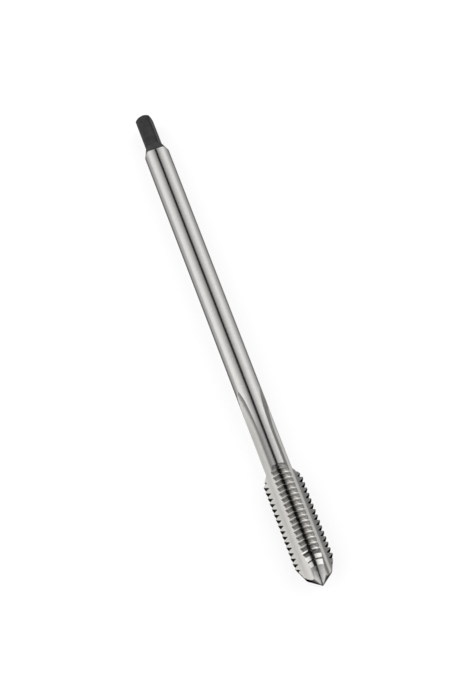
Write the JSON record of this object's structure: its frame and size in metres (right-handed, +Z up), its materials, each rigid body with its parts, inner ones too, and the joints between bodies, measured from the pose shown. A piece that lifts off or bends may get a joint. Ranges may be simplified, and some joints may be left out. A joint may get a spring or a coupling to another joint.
{
  "type": "thread tap",
  "caption": "Long-shank thread tap with straight flutes, a right-hand metric thread, a lead chamfer, a conical point and a small square drive end with a black finish.",
  "frame": {"origin": "middle of the bounding box in X and Y, on the surface that the tap rests on", "axes": "+X along the tap towards its point, +Z up from the surface it rests on"},
  "size_m": [0.0652, 0.004, 0.0038],
  "materials": {
    "tool_steel": "ground and polished, with a black oxide finish on the square end"
  },
  "bodies": {
    "root": {"thread_tap": "tool_steel"}
  },
  "joints": []
}
